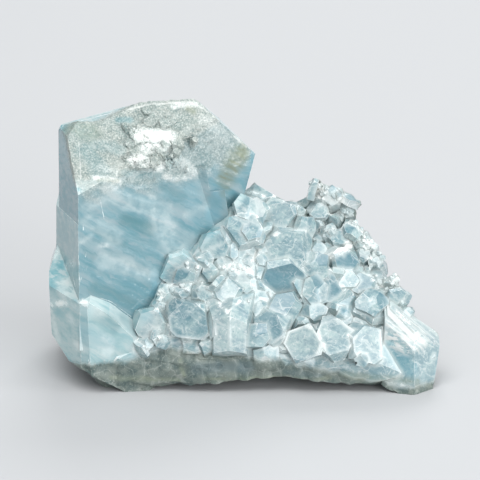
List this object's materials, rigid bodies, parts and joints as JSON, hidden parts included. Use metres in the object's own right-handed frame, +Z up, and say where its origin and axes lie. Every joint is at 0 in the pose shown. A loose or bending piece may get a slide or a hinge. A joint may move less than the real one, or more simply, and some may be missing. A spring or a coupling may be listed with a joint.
{
  "type": "celestite crystal cluster",
  "caption": "Pale blue celestite specimen: a big blocky crystal beside a sloping druse of smaller crystals on a broken crust that stands on its worn underside.",
  "frame": {"origin": "on the ground under the middle of the specimen's box", "axes": "+X to the right along the specimen's length, -Y to the front where the druse is seen, +Z up"},
  "size_m": [0.104, 0.0538, 0.0728],
  "materials": {
    "celestite": "glassy, translucent pale blue, frosted white in places"
  },
  "bodies": {
    "root": {"celestite_cluster": "celestite"}
  },
  "joints": []
}
